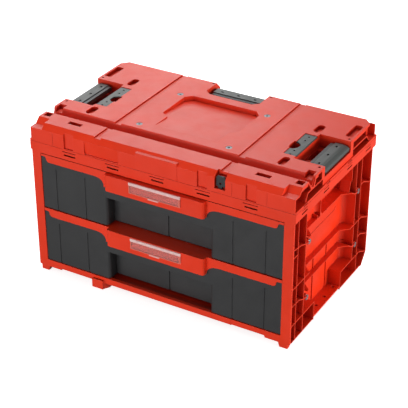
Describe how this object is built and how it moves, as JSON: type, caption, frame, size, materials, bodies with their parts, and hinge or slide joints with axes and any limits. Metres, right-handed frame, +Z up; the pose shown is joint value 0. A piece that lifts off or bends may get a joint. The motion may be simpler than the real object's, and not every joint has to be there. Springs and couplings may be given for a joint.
{
  "type": "portable tool box with drawers",
  "caption": "Stackable portable tool box with pull-out drawers on runners, hinged stacking latches, side hand grips and a drawer lock.",
  "frame": {"origin": "centre of the outline, on the floor", "axes": "+X to the right along the front, +Y from the front to the back, +Z up"},
  "size_m": [0.566, 0.356, 0.3265],
  "materials": {
    "red_plastic": "satin",
    "drawer_plastic": "matte",
    "dark_plastic": "matte",
    "grey_plastic": "satin",
    "grey_metal": "satin",
    "steel": "satin",
    "milky_plastic": "gloss",
    "clear_plastic": "gloss"
  },
  "bodies": {
    "case": {"base_tray": "red_plastic", "side_left": "red_plastic", "side_right": "red_plastic", "rear_panel": "red_plastic", "front_rail": "red_plastic", "mid_shelf": "red_plastic", "top_cover": "red_plastic", "cover_screws": "grey_metal", "catch_plate_left": "grey_plastic", "catch_plate_right": "grey_plastic", "latch_pins": "steel", "rails_left": "steel", "rails_right": "steel", "runner_screws_left": "steel", "runner_screws_right": "steel"},
    "latch_left": {"latch_left_bar": "grey_plastic", "latch_left_strip": "dark_plastic"},
    "latch_right": {"latch_right_bar": "grey_plastic", "latch_right_strip": "dark_plastic"},
    "latch_rear": {"latch_rear_bar": "grey_plastic", "latch_rear_strip": "dark_plastic"},
    "lock": {"lock_slider": "dark_plastic"},
    "drawer_upper": {"upper_tub": "drawer_plastic", "upper_band": "red_plastic", "upper_label_strip": "milky_plastic", "upper_label_cover": "clear_plastic", "upper_inner_rails": "steel", "upper_rail_screws": "steel"},
    "runner_upper_left": {"runner_upper_left": "steel"},
    "runner_upper_right": {"runner_upper_right": "steel"},
    "drawer_lower": {"lower_tub": "drawer_plastic", "lower_band": "red_plastic", "lower_label_strip": "milky_plastic", "lower_label_cover": "clear_plastic", "lower_inner_rails": "steel", "lower_rail_screws": "steel"},
    "runner_lower_left": {"runner_lower_left": "steel"},
    "runner_lower_right": {"runner_lower_right": "steel"}
  },
  "joints": [
    {"name": "drawer_upper_slide", "type": "slide", "parent": "case", "child": "drawer_upper", "axis": [0, -1, 0], "range_m": [0, 0.26]},
    {"name": "runner_upper_left_slide", "type": "slide", "parent": "case", "child": "runner_upper_left", "axis": [0, -1, 0], "range_m": [0, 0.13]},
    {"name": "runner_upper_right_slide", "type": "slide", "parent": "case", "child": "runner_upper_right", "axis": [0, -1, 0], "range_m": [0, 0.13]},
    {"name": "drawer_lower_slide", "type": "slide", "parent": "case", "child": "drawer_lower", "axis": [0, -1, 0], "range_m": [0, 0.26]},
    {"name": "runner_lower_left_slide", "type": "slide", "parent": "case", "child": "runner_lower_left", "axis": [0, -1, 0], "range_m": [0, 0.13]},
    {"name": "runner_lower_right_slide", "type": "slide", "parent": "case", "child": "runner_lower_right", "axis": [0, -1, 0], "range_m": [0, 0.13]},
    {"name": "latch_left_hinge", "type": "hinge", "parent": "case", "child": "latch_left", "pos_m": [-0.2745, 0.0075, 0.311], "axis": [0, -1, 0], "range_deg": [0, 90]},
    {"name": "latch_right_hinge", "type": "hinge", "parent": "case", "child": "latch_right", "pos_m": [0.2745, 0.0075, 0.311], "axis": [0, 1, 0], "range_deg": [0, 90]},
    {"name": "latch_rear_hinge", "type": "hinge", "parent": "case", "child": "latch_rear", "pos_m": [0, 0.1595, 0.311], "axis": [-1, 0, 0], "range_deg": [0, 90]},
    {"name": "lock_slide", "type": "slide", "parent": "case", "child": "lock", "axis": [0, 0, -1], "range_m": [0, 0.0035]}
  ],
  "couplings": [
    {"joint": "runner_upper_left_slide", "follows": "drawer_upper_slide", "ratio": 0.5},
    {"joint": "runner_upper_right_slide", "follows": "drawer_upper_slide", "ratio": 0.5},
    {"joint": "runner_lower_left_slide", "follows": "drawer_lower_slide", "ratio": 0.5},
    {"joint": "runner_lower_right_slide", "follows": "drawer_lower_slide", "ratio": 0.5}
  ]
}
